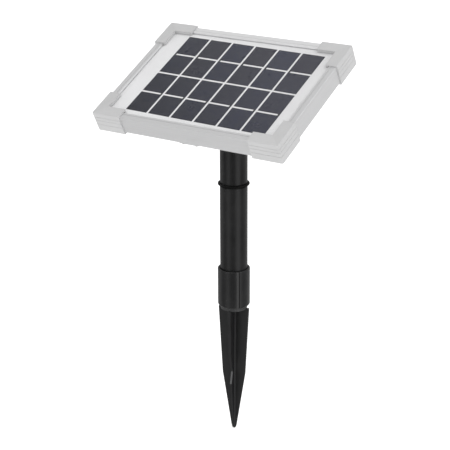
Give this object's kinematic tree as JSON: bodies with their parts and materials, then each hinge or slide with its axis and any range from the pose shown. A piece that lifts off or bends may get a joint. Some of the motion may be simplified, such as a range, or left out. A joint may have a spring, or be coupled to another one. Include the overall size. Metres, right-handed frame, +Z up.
{
  "type": "solar panel on ground stake",
  "caption": "Small framed solar panel that tilts on a clevis hinge over a swivelling head, on a round pole with a coupler and a bladed ground spike.",
  "frame": {"origin": "on the pole's axis at the ground line, where the spike's blades begin", "axes": "+Z up along the pole; the panel's low edge faces -Y and its tilt hinge runs along X"},
  "size_m": [0.2016, 0.134, 0.3947],
  "materials": {
    "frame_aluminium": "satin",
    "cap_plastic": "satin",
    "white_laminate": "matte",
    "clear_film": "satin",
    "solar_cell": "satin",
    "cell_tab": "satin",
    "foam_tape": "matte",
    "grey_plastic": "matte",
    "black_plastic": "satin",
    "rubber": "matte",
    "steel": "satin",
    "brass": "satin",
    "tinned_copper": "satin",
    "diode": "gloss"
  },
  "bodies": {
    "stake": {"pole_tube": "black_plastic", "coupler_sleeve": "black_plastic", "ground_spike": "black_plastic", "joint_ring": "black_plastic"},
    "head": {"tilt_head": "black_plastic"},
    "panel": {"corner_cap_front_left": "cap_plastic", "corner_cap_front_right": "cap_plastic", "corner_cap_back_left": "cap_plastic", "corner_cap_back_right": "cap_plastic", "corner_key_front_left": "grey_plastic", "corner_key_front_right": "grey_plastic", "corner_key_back_left": "grey_plastic", "corner_key_back_right": "grey_plastic", "front_rail": "frame_aluminium", "right_rail": "frame_aluminium", "back_rail": "frame_aluminium", "left_rail": "frame_aluminium", "cell_column_1": "solar_cell", "cell_column_2": "solar_cell", "cell_column_3": "solar_cell", "cell_column_4": "solar_cell", "cell_column_5": "solar_cell", "cell_column_6": "solar_cell", "cell_ribbons": "cell_tab", "encapsulant": "white_laminate", "backing_board": "white_laminate", "front_film": "clear_film", "edge_gasket": "foam_tape", "cross_bar": "frame_aluminium", "cross_bar_screws": "steel", "hinge_base": "black_plastic", "hinge_base_screws": "steel", "friction_washers": "rubber", "tilt_bolt": "steel", "knob_washer": "steel", "bus_leads": "tinned_copper", "junction_box": "black_plastic", "lid_gasket": "rubber", "junction_lid": "black_plastic", "lid_screws": "steel", "terminal_block": "grey_plastic", "terminal_screws": "steel", "blocking_diode": "diode", "gland_body": "black_plastic", "gland_seal": "rubber", "gland_nut": "black_plastic"},
    "knob": {"tilt_knob": "black_plastic", "knob_insert": "brass"}
  },
  "joints": [
    {"name": "head_swivel", "type": "hinge", "parent": "stake", "child": "head", "pos_m": [0, 0, 0.1281], "axis": [0, 0, 1], "continuous": true},
    {"name": "panel_tilt", "type": "hinge", "parent": "head", "child": "panel", "pos_m": [0, 0, 0.1892], "axis": [1, 0, 0], "range_deg": [-27, 48]},
    {"name": "knob_turn", "type": "hinge", "parent": "panel", "child": "knob", "pos_m": [0.02, 0, 0.1892], "axis": [1, 0, 0], "range_deg": [0, 540]}
  ]
}
